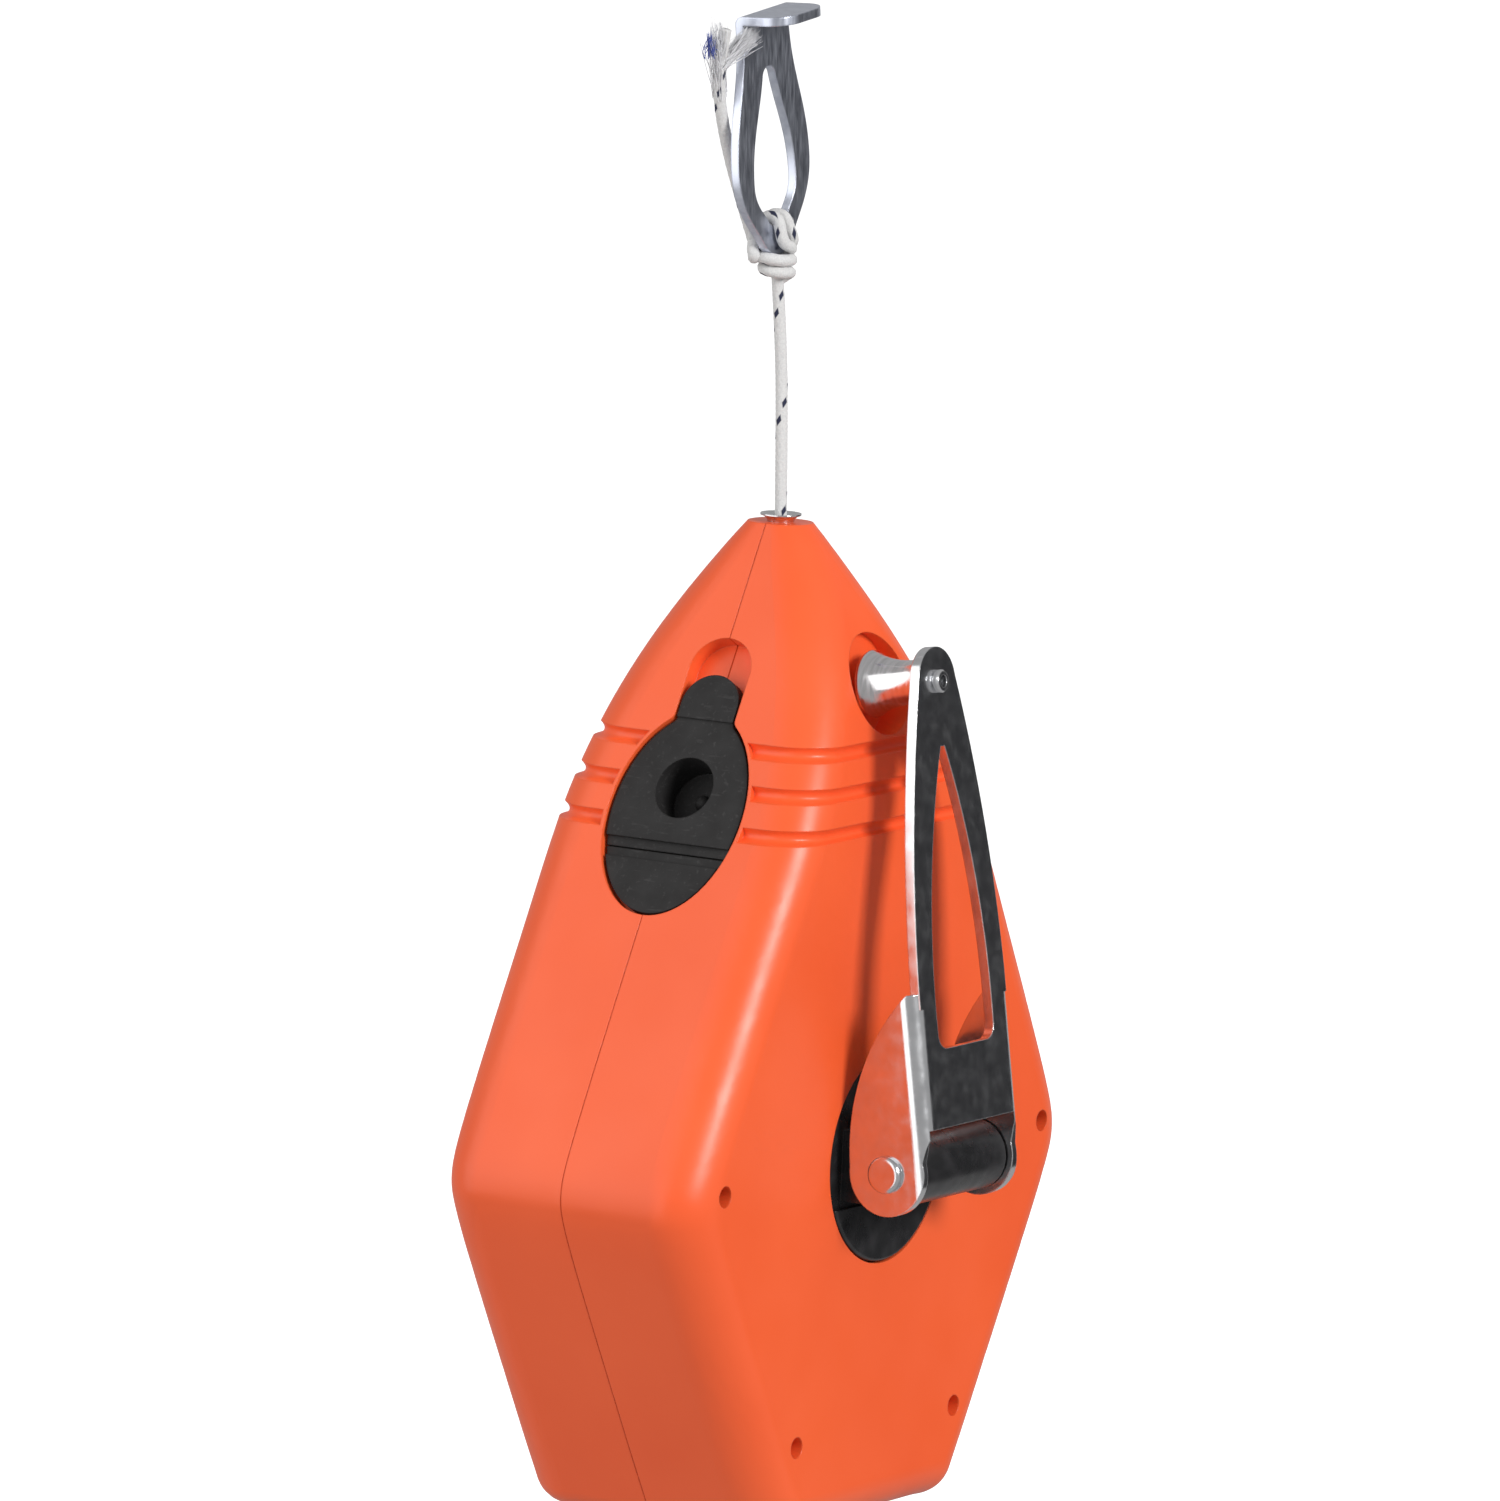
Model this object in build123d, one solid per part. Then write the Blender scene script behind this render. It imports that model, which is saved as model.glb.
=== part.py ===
from build123d import *
import math
import os

# A chalk line reel: a hollow two-part case that holds powdered chalk and a spool of line.
# The case is drawn standing on its base: X across its broad faces, -Y towards the crank,
# Z up to the nose where the line leaves. write() then moves every node so that the origin
# is the underside of the line hook's tab, which is what the reel hangs by.
# All sizes are millimetres.

# --- Case ---
CASE_HEIGHT = 132.0
HALF_THICKNESS = 20.3
NOSE_HALF_THICKNESS = 4.4
SHOULDER_Z = 90.0  # the broad faces curve in towards the nose above this
WAIST_Z = 47.1  # height of the kite's side corners
WAIST_HALF_WIDTH = 50.6  # to the side corner before it is rounded
UPPER_SLOPE = 0.551  # half width lost for each mm above the waist
LOWER_SLOPE = 0.5875  # and for each mm below it
WAIST_ROUNDING = 3.5
CORNER_RADIUS = 7.2
BASE_RADIUS = 5.0
WALL = 2.4
CAVITY_TOP_Z = 109.0
SEAM_GAP = 0.1
LIP_DEPTH = 2.0
LIP_WALL = 1.1

# --- Finger grooves round the case ---
GROOVE_TOP_Z = 103.9
GROOVE_PITCH = 5.15
GROOVE_COUNT = 3
GROOVE_PROFILE = (  # (height from the groove's middle, depth)
    (-1.15, -0.35),
    (-0.85, 0.08),
    (-0.6, 0.75),
    (-0.2, 1.0),
    (0.35, 0.8),
    (0.9, 0.25),
    (1.4, -0.35),
)

# --- Case screws, driven from the back ---
SCREW_PLACES = ((-40.5, 48.6), (40.5, 48.6), (-20.1, 12.3), (20.1, 12.3))  # (x, z)
SCREW_RADIUS = 1.45
SCREW_HEAD_RADIUS = 2.9
SCREW_HEAD_HEIGHT = 2.0
SCREW_HEAD_SINK = 1.0
SCREW_TIP_Y = -13.0
SCREW_CLEARANCE_RADIUS = 1.75
SCREW_BOSS_RADIUS = 3.6
SCREW_CROSS = (3.4, 1.8, 0.7)  # length, width and height of each bar cut for the driver

# --- Drive: hub, spool and wound line, turning about Y ---
AXLE_Z = 48.9
HUB_DISC_RADIUS = 14.1
HUB_DISC_PROUD = 0.2
HUB_DISC_THICKNESS = 2.1
HUB_STEP_DEPTH = 0.7  # the disc is sunk by this much from just below the lug upwards
HUB_STEP_BELOW = 5.8  # from the axis down to the step
HUB_POCKET_RADIUS = 14.35
HUB_POCKET_DEPTH = 3.4
HUB_BOSS_RADIUS = 17.0
JOURNAL_RADIUS = 9.0
RUNNING_CLEARANCE = 0.05
HUB_HEX_ACROSS = 12.0
HUB_HEX_LENGTH = 12.5
SEAL_THICKNESS = 1.2
BEARING_END_Y = 13.9  # both bearings end this far from the middle
SPOOL_END_Y = 13.5
SPOOL_FLANGE = 1.3
SPOOL_RADIUS = 36.0
SPOOL_CORE_RADIUS = 11.0
STUB_RADIUS = 6.0
STUB_END_Y = 17.0
BUSH_RADIUS = 8.0
BUSH_END_Y = 17.5
BUSH_BOSS_RADIUS = 10.5
WOUND_RADIUS = 33.0
SPOOL_SCREW_RADIUS = 1.5
SPOOL_SCREW_HEAD_RADIUS = 2.8
SPOOL_SCREW_SEAT_Y = 14.4
SPOOL_SCREW_TIP_Y = -8.0
SPOOL_SEAT_RADIUS = 3.6
SPOOL_WASHER = 0.5
SPOOL_SCREW_HEAD = 1.6
SPOOL_SCREW_SLOT_WIDTH = 1.4

# --- Folding crank, hinged on a pin along X ---
PIN_Y = -27.7
PIN_RADIUS = 2.0
PIN_HEAD_RADIUS = 2.5
PIN_HEAD_HEIGHT = 1.0
ARM_LEAN = 8.2  # degrees that the folded arm leans towards the nose
SHEET = 1.4
ARM_OUTER = 6.67  # from the pin's axis to the arm's outer face
ARM_HALF_WIDTH = 12.3
ARM_BEND_RADIUS = 2.3
ARM_FOOT = 5.45  # along the arm from the pin to the web's lower edge
EAR_TOP = 23.6
EAR_RADIUS = 5.65
ARM_SHOULDER_HALF_WIDTH = 11.0
ARM_MIDDLE_HALF_WIDTH = 8.9
ARM_TIP_RADIUS = 4.6
KNOB_ALONG = 64.0  # along the arm from the pin to the knob's axis
BARREL_RADIUS = 4.75
BARREL_HALF_LENGTH = 10.6
WINDOW_FOOT = 15.8
WINDOW_TOP = 55.4
WINDOW_HALF_WIDTH = 7.2
KNOB_POCKET_RADIUS = 6.9
KNOB_POCKET_DEPTH = 3.5
KNOB_FLARE_RADIUS = 4.5
KNOB_WAIST_RADIUS = 2.95
KNOB_INNER = -3.7  # the knob's free end, measured like ARM_OUTER
KNOB_WASHER = 0.45
RIVET_RADIUS = 1.3

# --- Filler port in the narrow side, closed by a rubber plug ---
PORT_Z = 90.0  # height where the port's own plane has its origin
PLUG_HALF_WIDTH = 9.9
PLUG_HALF_HEIGHT = 14.3
PLUG_MIDDLE = 6.25  # middle of the oval plug, up the face from the origin
TAB_HALF_WIDTH = 4.3
TAB_TOP = 26.0
TAB_PAD_FOOT = 19.6  # the finger tab is raised above this
TAB_PAD_RISE = 0.3
FINGER_SLOT_HALF_WIDTH = 4.7
FINGER_SLOT_TOP = 31.3
PLUG_SHOULDER_RADIUS = 1.2  # where the finger tab or its slot meets the plug's oval
PLUG_GAP = 0.45
PLUG_SUNK = 0.4
PLUG_THICKNESS = 1.8
RECESS_DEPTH = 2.5
RECESS_RIM = 0.5  # the finger grooves stop this far short of the recess
PORT_WALL = 2.4
PORT_CENTRE = 9.9
PORT_RADIUS = 6.9
CUP_RADIUS = 6.5
CUP_TIP_RADIUS = 5.4
CUP_DEPTH = 7.0
CUP_HOLE_RADIUS = 4.3
CUP_FLOOR = 1.0
CUP_NUB_RADIUS = 1.1  # moulding nub in the middle of the cup's floor
PLUG_HINGE = 0.75  # up the face from the origin to the living hinge
PLUG_HINGE_GAP = 0.2
PLUG_HINGE_BAND = 2.8  # width of the thinned strip that bends
PLUG_HINGE_BAND_DEPTH = 0.45
PEG_ALONG = -3.6
PEG_RADIUS = 2.0
PEG_HEAD_RADIUS = 2.9
PEG_HEAD_HEIGHT = 2.0

# --- Nose: eyelet, felt wiper, line ---
LINE_DIAMETER = 1.7
EYELET_RADIUS = 1.8
EYELET_HOLE_RADIUS = 1.3
EYELET_FLANGE_RADIUS = 2.75
EYELET_FOOT_Z = 121.5
FELT_RADIUS = 4.0
FELT_LOW_Z = 111.5
FELT_HIGH_Z = 120.5
LINE_START_Z = 131.0  # where the free line begins, in the eyelet's mouth
LINE_LEAN = 2.6  # degrees that the hanging line leans back from the case's own axis

# --- Line hook, in its own plane, from its lower tip upwards ---
HOOK_FOOT = (-1.2, 0.0, 36.0)  # its lower tip, in the line's own axes
HOOK_TILT = 6.5
HOOK_HEIGHT = 32.5
HOOK_SHEET = 1.2
HOOK_TIP = (3.1, 1.0)  # (half width, height) where the round foot meets the side
HOOK_WAIST = (8.9, 12.0)
HOOK_NECK = (5.7, 30.0)
HOOK_FOOT_SLOPE = (0.55, 0.84)  # way the side leaves the foot
HOOK_TAB_LENGTH = 7.8
HOOK_TAB_CORNER = 3.5
HOOK_BEND_RADIUS = 1.1
HOOK_WINDOW_LOW = 3.4
HOOK_WINDOW_HIGH = 25.0
HOOK_WINDOW_FOOT = (2.0, 4.1)  # where the round foot meets the side
HOOK_WINDOW_WAIST = (5.2, 9.8)
HOOK_WINDOW_TOP = (1.6, 23.6)  # where the side meets the round top
HOOK_WINDOW_TAPER = (-0.24, 0.97)  # way the side comes into the round top
KNOT_RADIUS = 2.9
KNOT_CENTRE = (-0.2, -1.2, 0.0)

# The free line and its tail, as points chosen along each, in the line's and hook's own axes.
LINE_ROUTE = ((0.0, 0.0, -0.95), (0.3, 0.0, 12.0), (0.4, 0.15, 24.0), (-1.0, 0.0, 34.5))
TAIL_ROUTE = (
    (-1.5, 1.5, -2.4),
    (-3.9, 8.6, -2.75),
    (-6.5, 15.6, -2.6),
    (-8.4, 21.8, -2.1),
    (-9.3, 27.0, -1.2),
    (-9.0, 31.5, 0.0),
)
INSIDE_ROUTE = ((29.6, 0.0, 65.8), (0.0, 0.0, 111.5), (0.0, 0.0, LINE_START_Z))


# --- Shape of the case ---


def half_width(z):
    """Half the case's width at a height: two straight slopes that a hyperbola joins."""
    mean = (UPPER_SLOPE + LOWER_SLOPE) / 2
    lean = (LOWER_SLOPE - UPPER_SLOPE) / 2
    up = z - WAIST_Z
    return WAIST_HALF_WIDTH + lean * up - mean * math.hypot(up, WAIST_ROUNDING)


def half_thickness(z):
    """Half the case's thickness: straight, then an arc in to the nose."""
    if z <= SHOULDER_Z:
        return HALF_THICKNESS
    rise = CASE_HEIGHT - SHOULDER_Z
    inward = HALF_THICKNESS - NOSE_HALF_THICKNESS
    radius = (rise**2 + inward**2) / (2 * inward)
    return HALF_THICKNESS - radius + math.sqrt(radius**2 - (z - SHOULDER_Z) ** 2)


def case_section(z, inset=0.0):
    """The case's rounded-rectangle outline at a height, moved in by inset."""
    slant = math.hypot(1, UPPER_SLOPE)
    width = half_width(z) - inset * slant
    thickness = half_thickness(z) - inset
    room = 0.96 * min(width, thickness)
    wanted = max(CORNER_RADIUS - inset, 1.0)
    radius = (room**-4 + wanted**-4) ** -0.25
    return Pos(0, 0, z) * RectangleRounded(2 * width, 2 * thickness, radius)


def heights(low, high):
    """Section heights for a loft: close together round the waist and near the nose."""
    marks = [0, 8, 16, 24, 31, 36, 40, 43, 46, 49, 52, 55, 59, 64, 71, 80, 90]
    marks += [96, 102, 108, 114, 119, 123, 127, CASE_HEIGHT]
    inner = [z for z in marks if low + 1.5 < z < high - 1.5]
    return [low, *inner, high]


def case_body():
    body = loft([case_section(z) for z in heights(0, CASE_HEIGHT)])
    base = body.faces().sort_by(Axis.Z)[0]
    return fillet(base.edges(), BASE_RADIUS)


def case_cavity(inset=WALL):
    return loft([case_section(z, inset) for z in heights(WALL, CAVITY_TOP_Z)])


def groove(z):
    """A ring round the case: rounded above, with a nearly level lower wall."""
    low = GROOVE_PROFILE[0][0]
    high = GROOVE_PROFILE[-1][0]
    core = loft([case_section(z + up, depth) for up, depth in GROOVE_PROFILE])
    slab = Pos(0, 0, z + (low + high) / 2) * Box(120, 80, high - low)
    return slab - core


# --- Helpers ---


def along_y(radius, y_from, y_to, x=0.0, z=AXLE_Z):
    """A cylinder along Y between two values of y."""
    middle = (y_from + y_to) / 2
    return Pos(x, middle, z) * Rot(90, 0, 0) * Cylinder(radius, abs(y_to - y_from))


def slab_y(y_from, y_to):
    """All of the space between two values of y, as far as the case reaches."""
    middle = (y_from + y_to) / 2
    return Pos(0, middle, CASE_HEIGHT / 2) * Box(160, abs(y_to - y_from), 320)


def tube(route, diameter):
    """A round tube along straight runs and the largest tangent arcs that they allow."""
    points = [Vector(*p) for p in route]
    runs = [b - a for a, b in zip(points, points[1:])]
    radii = []
    for first, second in zip(runs, runs[1:]):
        half_turn = math.radians(first.get_angle(second)) / 2
        radii.append(0.45 * min(first.length, second.length) / math.tan(half_turn))
    path = FilletPolyline(*points, radius=radii)
    end = Plane(origin=points[0], z_dir=runs[0])
    print("tube length", round(path.length, 1), "radii", [round(r, 1) for r in radii])
    return sweep(end * Circle(diameter / 2), path=path)


def turned(points):
    """A solid of revolution about Z from (radius, z) corners."""
    outline = make_face(Polyline(*[(r, 0, z) for r, z in points], close=True))
    return revolve(outline, Axis.Z)


# --- Places ---

PORT_TILT = math.atan(UPPER_SLOPE)
PORT = Plane(
    origin=(-half_width(PORT_Z), 0, PORT_Z),
    x_dir=(0, -1, 0),
    z_dir=(-math.cos(PORT_TILT), 0, math.sin(PORT_TILT)),
).location
ARM = Pos(0, PIN_Y, AXLE_Z) * Rot(90 - ARM_LEAN, 0, 0)  # x across, y up the arm, z outwards
LINE = Pos(0, 0, CASE_HEIGHT) * Rot(-LINE_LEAN, 0, 0)
HOOK = LINE * Pos(*HOOK_FOOT) * Rot(0, -HOOK_TILT, 0) * Rot(90, 0, 0)
HANG_POINT = (HOOK * Pos(0, HOOK_HEIGHT - HOOK_SHEET, HOOK_TAB_LENGTH / 2)).position

# Where the knob's axis meets the front face, measured outwards from the pin in the arm's axes.
KNOB_FACE_Z = 111.9
KNOB_FACE_POINT = Vector(0, -half_thickness(KNOB_FACE_Z), KNOB_FACE_Z)
KNOB_FACE = Plane(ARM).to_local_coords(KNOB_FACE_POINT).Z


# --- Case pieces ---


def plug_outline(gap=0.0):
    """The plug's oval, seen square on to the narrow side."""
    return Pos(0, PLUG_MIDDLE) * Ellipse(PLUG_HALF_WIDTH + gap, PLUG_HALF_HEIGHT + gap)


def finger_outline(half_width_here, top):
    """A round-ended strip from the middle of the plug up to the given height."""
    low = PLUG_MIDDLE
    high = top - half_width_here
    middle = (low + high) / 2
    return Pos(0, middle) * SlotCenterToCenter(high - low, 2 * half_width_here, rotation=90)


def eased(outline):
    """The outline with the two inner corners beside its finger strip rounded."""
    shoulder = PLUG_MIDDLE + 0.9 * PLUG_HALF_HEIGHT
    corners = [v for v in outline.face().vertices() if abs(v.Y - shoulder) < 2]
    inner = [v for v in corners if abs(v.X) < 0.6 * PLUG_HALF_WIDTH]
    return fillet(inner, PLUG_SHOULDER_RADIUS)


def port_recess():
    strip = finger_outline(FINGER_SLOT_HALF_WIDTH, FINGER_SLOT_TOP)
    outline = eased(plug_outline(PLUG_GAP) + strip)
    depth = RECESS_DEPTH + 3
    recess = PORT * Pos(0, 0, -RECESS_DEPTH) * extrude(outline, depth)
    hole = PORT * Pos(0, PORT_CENTRE, -6) * Cylinder(PORT_RADIUS, 10)
    peg_hole = PORT * Pos(0, PEG_ALONG, -6) * Cylinder(PEG_RADIUS, 10)
    return recess + hole + peg_hole


def recess_rim():
    """The space round the recess, and over it, that the finger grooves leave alone."""
    outline = plug_outline(PLUG_GAP + RECESS_RIM)
    return PORT * Pos(0, 0, -2 * RECESS_DEPTH) * extrude(outline, 3 * RECESS_DEPTH)


def port_boss():
    """Extra thickness behind the recess and the finger slot."""
    outline = plug_outline(WALL) + finger_outline(FINGER_SLOT_HALF_WIDTH + WALL, FINGER_SLOT_TOP)
    depth = RECESS_DEPTH + PORT_WALL
    return PORT * Pos(0, 0, -depth) * extrude(outline.face(), depth)


def knob_pocket(radius, depth):
    """A round pocket square to the folded arm, where the knob parks."""
    return ARM * Pos(0, KNOB_ALONG, KNOB_FACE - depth + 10) * Cylinder(radius, 20)


def shell(body, cavity):
    """The whole case as one hollow body with its bosses, before it is split at the seam."""
    bosses = along_y(HUB_BOSS_RADIUS, -HALF_THICKNESS, -BEARING_END_Y)
    bosses += along_y(BUSH_BOSS_RADIUS, BEARING_END_Y, HALF_THICKNESS)
    for x, z in SCREW_PLACES:
        bosses += along_y(SCREW_BOSS_RADIUS, -HALF_THICKNESS, HALF_THICKNESS, x, z)
    bosses += port_boss()
    bosses += knob_pocket(KNOB_POCKET_RADIUS + WALL, KNOB_POCKET_DEPTH + WALL)
    whole = (body - cavity) + (bosses & body)
    whole -= port_recess()
    whole -= knob_pocket(KNOB_POCKET_RADIUS, KNOB_POCKET_DEPTH)
    rim = recess_rim()
    for turn in range(GROOVE_COUNT):
        whole -= groove(GROOVE_TOP_Z - turn * GROOVE_PITCH) - rim
    whole -= nose_bores()
    return whole


def nose_bores():
    eyelet_bore = Pos(0, 0, CASE_HEIGHT) * Cylinder(EYELET_RADIUS, 2 * (CASE_HEIGHT - FELT_HIGH_Z))
    felt_height = FELT_HIGH_Z - CAVITY_TOP_Z + 1
    felt_bore = Pos(0, 0, FELT_HIGH_Z - felt_height / 2) * Cylinder(FELT_RADIUS, felt_height)
    return eyelet_bore + felt_bore


def front_shell(whole):
    half = whole & slab_y(-60, -SEAM_GAP / 2)
    half -= along_y(HUB_POCKET_RADIUS, -HALF_THICKNESS - 1, -HALF_THICKNESS + HUB_POCKET_DEPTH)
    half -= along_y(JOURNAL_RADIUS + RUNNING_CLEARANCE, -HALF_THICKNESS, -BEARING_END_Y + 1)
    for x, z in SCREW_PLACES:
        half -= along_y(SCREW_RADIUS, -HALF_THICKNESS - 1, 1, x, z)
    return half


def rear_shell(whole, front):
    half = whole & slab_y(SEAM_GAP / 2, 60)
    half -= along_y(BUSH_RADIUS, BEARING_END_Y - 1, BUSH_END_Y)
    for x, z in SCREW_PLACES:
        half -= along_y(SCREW_CLEARANCE_RADIUS, -1, HALF_THICKNESS, x, z)
        seat = HALF_THICKNESS - SCREW_HEAD_SINK - SCREW_HEAD_HEIGHT
        half -= along_y(SCREW_HEAD_RADIUS + 0.2, seat, HALF_THICKNESS + 1, x, z)
    return half + seam_lip(front)


def seam_lip(front):
    """A thin wall on the rear shell that tucks inside the front shell and keeps the chalk in."""
    ring = case_cavity(WALL + SEAM_GAP) - case_cavity(WALL + LIP_WALL)
    ring &= slab_y(-LIP_DEPTH, LIP_DEPTH)
    ring &= Pos(0, 0, 41) * Box(120, 20, 80)
    for x, z in SCREW_PLACES:
        ring -= along_y(SCREW_BOSS_RADIUS + 0.2, -LIP_DEPTH, 0, x, z)
    foot = case_cavity(WALL) - case_cavity(WALL + LIP_WALL)
    foot &= slab_y(SEAM_GAP / 2, LIP_DEPTH)
    return (ring + (foot & Pos(0, 0, 41) * Box(120, 20, 80))) - front


def case_screws():
    screws = []
    seat = HALF_THICKNESS - SCREW_HEAD_SINK - SCREW_HEAD_HEIGHT
    for x, z in SCREW_PLACES:
        screw = along_y(SCREW_RADIUS, SCREW_TIP_Y, seat + 0.5, x, z)
        screw += along_y(SCREW_HEAD_RADIUS, seat, seat + SCREW_HEAD_HEIGHT, x, z)
        top = seat + SCREW_HEAD_HEIGHT
        for turn in (0, 90):
            screw -= Pos(x, top, z) * Rot(0, turn, 0) * Box(*SCREW_CROSS)
        screws.append(screw)
    return Compound(children=screws)


# --- Filler plug ---


def plug_half(sign, outline):
    """The plug's outline on one side of its living hinge: +1 is the flap, -1 the anchor."""
    edge = PLUG_HINGE + sign * PLUG_HINGE_GAP / 2
    keep = Pos(0, edge + sign * 25) * Rectangle(60, 50)
    plate = extrude((outline & keep).face(), PLUG_THICKNESS)
    plate = PORT * Pos(0, 0, -PLUG_SUNK - PLUG_THICKNESS) * plate
    band = Box(60, PLUG_HINGE_BAND, 2 * PLUG_HINGE_BAND_DEPTH)
    return plate - PORT * Pos(0, PLUG_HINGE, -PLUG_SUNK) * band


def plug_flap():
    outline = eased(plug_outline() + finger_outline(TAB_HALF_WIDTH, TAB_TOP))
    flap = plug_half(1, outline)
    above = Pos(0, TAB_PAD_FOOT + PLUG_HALF_WIDTH) * Rectangle(40, 2 * PLUG_HALF_WIDTH)
    pad = (finger_outline(TAB_HALF_WIDTH, TAB_TOP) & above).face()
    flap += PORT * Pos(0, 0, -PLUG_SUNK - TAB_PAD_RISE) * extrude(pad, 2 * TAB_PAD_RISE)
    cup_height = CUP_DEPTH - PLUG_SUNK - PLUG_THICKNESS / 2
    cup = Cone(CUP_TIP_RADIUS, CUP_RADIUS, cup_height)
    flap += PORT * Pos(0, PORT_CENTRE, -CUP_DEPTH + cup_height / 2) * cup
    hole_depth = CUP_DEPTH - CUP_FLOOR
    flap -= PORT * Pos(0, PORT_CENTRE, -hole_depth / 2) * Cylinder(CUP_HOLE_RADIUS, hole_depth)
    nub = Pos(0, PORT_CENTRE, -hole_depth) * Sphere(CUP_NUB_RADIUS)
    return flap + PORT * nub


def plug_anchor():
    anchor = plug_half(-1, plug_outline())
    low = RECESS_DEPTH + PORT_WALL
    shank = Pos(0, PEG_ALONG, -PLUG_SUNK - 1 - low / 2) * Cylinder(PEG_RADIUS, low)
    head_middle = -low - PEG_HEAD_HEIGHT / 2 - 0.1
    head = Pos(0, PEG_ALONG, head_middle) * Cone(PEG_RADIUS, PEG_HEAD_RADIUS, PEG_HEAD_HEIGHT)
    return anchor + PORT * shank + PORT * head


# --- Nose pieces ---


def line_eyelet():
    top = CASE_HEIGHT
    return turned(
        (
            (EYELET_HOLE_RADIUS, EYELET_FOOT_Z),
            (EYELET_HOLE_RADIUS, top + 0.2),
            (EYELET_HOLE_RADIUS + 0.35, top + 0.75),
            (EYELET_HOLE_RADIUS + 0.9, top + 1.02),
            (EYELET_FLANGE_RADIUS, top + 1.1),
            (EYELET_FLANGE_RADIUS, top + 0.85),
            (EYELET_HOLE_RADIUS + 1.0, top + 0.7),
            (EYELET_RADIUS + 0.1, top + 0.35),
            (EYELET_RADIUS, top + 0.02),
            (EYELET_RADIUS, EYELET_FOOT_Z),
        )
    )


def wiper_felt(inner_line):
    height = FELT_HIGH_Z - FELT_LOW_Z
    return Pos(0, 0, FELT_LOW_Z + height / 2) * Cylinder(FELT_RADIUS, height) - inner_line


# --- Drive pieces ---


def hex_bar(across, y_from, y_to):
    bar = extrude(RegularPolygon(across / 2, 6, major_radius=False), abs(y_to - y_from))
    return Pos(0, max(y_from, y_to), AXLE_Z) * Rot(90, 0, 0) * bar


def crank_hub():
    disc_front = -HALF_THICKNESS - HUB_DISC_PROUD
    disc_back = disc_front + HUB_DISC_THICKNESS
    disc = along_y(HUB_DISC_RADIUS, disc_front, disc_back)
    disc = fillet(disc.faces().sort_by(Axis.Y)[0].edges(), 0.5)
    sunk = Pos(0, disc_front, AXLE_Z + HUB_DISC_RADIUS - HUB_STEP_BELOW)
    disc -= sunk * Box(4 * HUB_DISC_RADIUS, 2 * HUB_STEP_DEPTH, 2 * HUB_DISC_RADIUS)
    hub = disc + along_y(JOURNAL_RADIUS, disc_back - 0.5, -SPOOL_END_Y)
    hub += hex_bar(HUB_HEX_ACROSS, -SPOOL_END_Y - 0.5, -SPOOL_END_Y + HUB_HEX_LENGTH)
    pin_axis = Pos(0, PIN_Y, AXLE_Z) * Rot(0, 90, 0)
    hub += pin_axis * Cylinder(BARREL_RADIUS, 2 * BARREL_HALF_LENGTH)
    lug_depth = disc_back - 0.5 - PIN_Y
    lug = Box(2 * BARREL_HALF_LENGTH, lug_depth, 2 * BARREL_RADIUS)
    hub += Pos(0, PIN_Y + lug_depth / 2, AXLE_Z) * lug
    hub -= pin_axis * Cylinder(PIN_RADIUS + RUNNING_CLEARANCE, 4 * BARREL_HALF_LENGTH)
    return hub - along_y(SPOOL_SCREW_RADIUS, SPOOL_SCREW_TIP_Y - 2, 0)


def hub_seal():
    low = -HALF_THICKNESS + HUB_POCKET_DEPTH
    ring = along_y(HUB_POCKET_RADIUS, low - SEAL_THICKNESS, low)
    return ring - along_y(JOURNAL_RADIUS + 0.3, low - SEAL_THICKNESS - 1, low + 1)


def spool():
    reel = along_y(SPOOL_CORE_RADIUS, -SPOOL_END_Y, SPOOL_END_Y)
    for side in (-1, 1):
        reel += along_y(SPOOL_RADIUS, side * (SPOOL_END_Y - SPOOL_FLANGE), side * SPOOL_END_Y)
    reel += along_y(STUB_RADIUS, SPOOL_END_Y - 0.5, STUB_END_Y)
    socket_end = -SPOOL_END_Y + HUB_HEX_LENGTH + 0.5
    reel -= hex_bar(HUB_HEX_ACROSS + 2 * RUNNING_CLEARANCE, -SPOOL_END_Y - 1, socket_end)
    reel -= along_y(SPOOL_SCREW_RADIUS + 0.1, -2, STUB_END_Y)
    seat = SPOOL_SCREW_SEAT_Y - SPOOL_WASHER
    return reel - along_y(SPOOL_SEAT_RADIUS, seat, STUB_END_Y + 1)


def spool_screw():
    seat = SPOOL_SCREW_SEAT_Y
    screw = along_y(SPOOL_SCREW_RADIUS, SPOOL_SCREW_TIP_Y, seat + 0.5)
    screw += along_y(SPOOL_SCREW_HEAD_RADIUS, seat, seat + SPOOL_SCREW_HEAD)
    slot = Box(3 * SPOOL_SCREW_HEAD_RADIUS, SPOOL_SCREW_HEAD, SPOOL_SCREW_SLOT_WIDTH)
    return screw - Pos(0, seat + SPOOL_SCREW_HEAD, AXLE_Z) * slot


def spool_washer():
    seat = SPOOL_SCREW_SEAT_Y
    washer = along_y(SPOOL_SEAT_RADIUS - 0.2, seat - SPOOL_WASHER, seat)
    return washer - along_y(SPOOL_SCREW_RADIUS + 0.1, seat - 2, seat + 2)


def rear_bush():
    bush = along_y(BUSH_RADIUS, BEARING_END_Y, BUSH_END_Y)
    bore = along_y(STUB_RADIUS + RUNNING_CLEARANCE, BEARING_END_Y - 1, BUSH_END_Y + 1)
    return bush - bore


def wound_line():
    half = SPOOL_END_Y - SPOOL_FLANGE
    pack = along_y(WOUND_RADIUS, -half, half)
    return pack - along_y(SPOOL_CORE_RADIUS, -half - 1, half + 1)


# --- Crank pieces, drawn in the arm's own axes ---


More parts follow.
